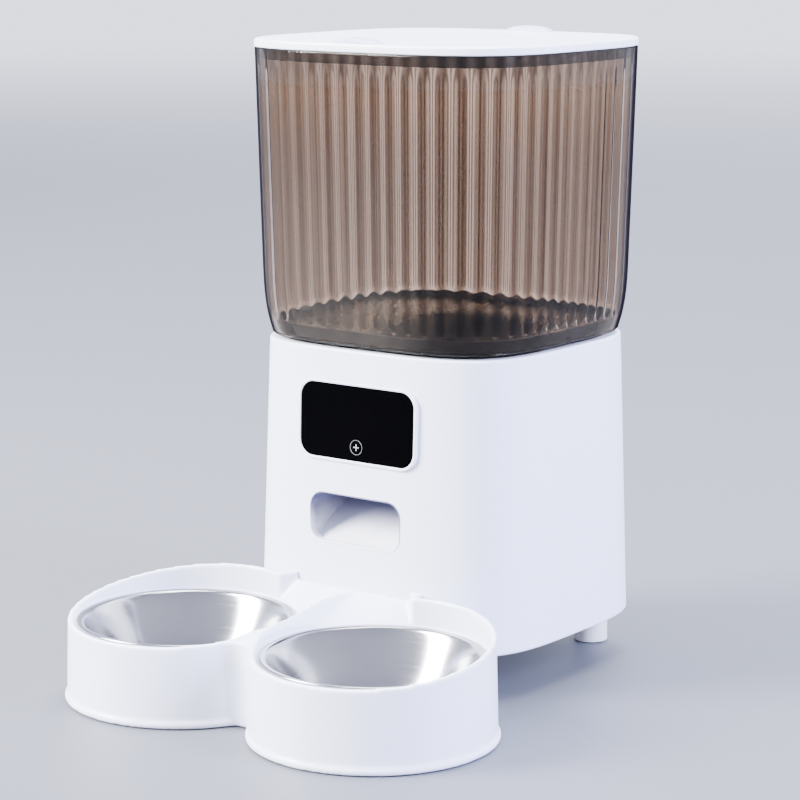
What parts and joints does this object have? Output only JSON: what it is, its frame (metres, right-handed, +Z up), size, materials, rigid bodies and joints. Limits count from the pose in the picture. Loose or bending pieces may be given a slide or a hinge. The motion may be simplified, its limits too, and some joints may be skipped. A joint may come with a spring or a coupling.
{
  "type": "automatic pet feeder",
  "caption": "Automatic dry food dispenser: smoky fluted tank with lift-off lid on a white base with clock window, rotor and chute, and a tray with steel bowls in front.",
  "frame": {"origin": "middle of the bounding box in X and Y, on the table that the feet and the tray's pads stand on", "axes": "+X towards the feeder's right as seen from the front, +Y towards its back, +Z up; the clock window, the outlet slot and the bowls face -Y"},
  "size_m": [0.285, 0.3384, 0.3891],
  "materials": {
    "white_shell": "satin white moulding",
    "white_lid": "satin white moulding",
    "pale_plastic": "fine matt texture",
    "black_plastic": "fine matt texture",
    "funnel_black": "polished",
    "window_black": "mirror polished",
    "board_green": "solder mask",
    "steel": "zinc plated",
    "gearbox_grey": "moulded",
    "gear_natural": "natural nylon",
    "rotor_plastic": "moulded",
    "brass": "machined",
    "stirrer_rubber": "soft matt",
    "black_rubber": "matt",
    "seal_rubber": "soft matt",
    "smoke_tank": "polished, translucent",
    "bowl_steel": "polished"
  },
  "bodies": {
    "base": {"base_shell": "white_shell", "bottom_cover": "pale_plastic", "cover_screw_front_left": "steel", "cover_screw_front_right": "steel", "cover_screw_rear_left": "steel", "cover_screw_rear_right": "steel", "foot_front_left": "pale_plastic", "foot_pad_front_left": "black_rubber", "foot_front_right": "pale_plastic", "foot_pad_front_right": "black_rubber", "foot_rear_left": "pale_plastic", "foot_pad_rear_left": "black_rubber", "foot_rear_right": "pale_plastic", "foot_pad_rear_right": "black_rubber", "battery_box": "black_plastic", "battery_contact_front": "brass", "battery_contact_rear": "brass", "display_bezel": "white_shell", "display_window": "window_black", "display_module": "black_plastic", "control_board": "board_green", "outlet_chute": "white_shell", "portion_chamber": "black_plastic", "chamber_cover": "black_plastic", "gear_plate": "steel", "plate_screw_front_left": "steel", "plate_screw_front_right": "steel", "plate_screw_rear_left": "steel", "plate_screw_rear_right": "steel", "gearbox": "gearbox_grey", "drive_motor": "steel", "turn_switch": "black_plastic", "power_socket": "black_plastic"},
    "rotor": {"portion_rotor": "rotor_plastic", "rotor_shaft": "steel", "driven_gear": "gear_natural", "stirrer": "stirrer_rubber"},
    "pinion": {"motor_pinion": "brass", "pinion_shaft": "steel"},
    "battery_door": {"battery_door": "pale_plastic"},
    "tank": {"tank": "smoke_tank", "hopper_funnel": "funnel_black"},
    "lid": {"lid": "white_lid", "lid_seal": "seal_rubber", "desiccant_holder": "white_shell"},
    "desiccant_cap": {"desiccant_cap": "pale_plastic"},
    "tray": {"bowl_tray": "white_shell", "tray_pad_front_left": "black_rubber", "tray_pad_front_right": "black_rubber", "tray_pad_rear_left": "black_rubber", "tray_pad_rear_right": "black_rubber"},
    "bowl_left": {"bowl_left": "bowl_steel"},
    "bowl_right": {"bowl_right": "bowl_steel"}
  },
  "joints": [
    {"name": "rotor_spin", "type": "hinge", "parent": "base", "child": "rotor", "pos_m": [0, 0.07103, 0.15], "axis": [0, 0, 1], "continuous": true},
    {"name": "pinion_spin", "type": "hinge", "parent": "base", "child": "pinion", "pos_m": [0, 0.09303, 0.12], "axis": [0, 0, 1], "continuous": true},
    {"name": "battery_door_drop", "type": "slide", "parent": "base", "child": "battery_door", "axis": [0, 0, -1], "range_m": [0, 0.02]},
    {"name": "tank_lift", "type": "slide", "parent": "base", "child": "tank", "axis": [0, 0, 1], "range_m": [0, 0.05]},
    {"name": "lid_lift", "type": "slide", "parent": "tank", "child": "lid", "axis": [0, 0, 1], "range_m": [0, 0.05]},
    {"name": "desiccant_cap_twist", "type": "hinge", "parent": "lid", "child": "desiccant_cap", "pos_m": [0, 0.07103, 0.374], "axis": [0, 0, 1], "range_deg": [0, 40]},
    {"name": "tray_slide", "type": "slide", "parent": "base", "child": "tray", "axis": [0, -1, 0], "range_m": [0, 0.1]},
    {"name": "bowl_left_lift", "type": "slide", "parent": "tray", "child": "bowl_left", "axis": [0, 0, 1], "range_m": [0, 0.06]},
    {"name": "bowl_right_lift", "type": "slide", "parent": "tray", "child": "bowl_right", "axis": [0, 0, 1], "range_m": [0, 0.06]}
  ],
  "couplings": [
    {"joint": "pinion_spin", "follows": "rotor_spin", "ratio": -2.6667}
  ]
}
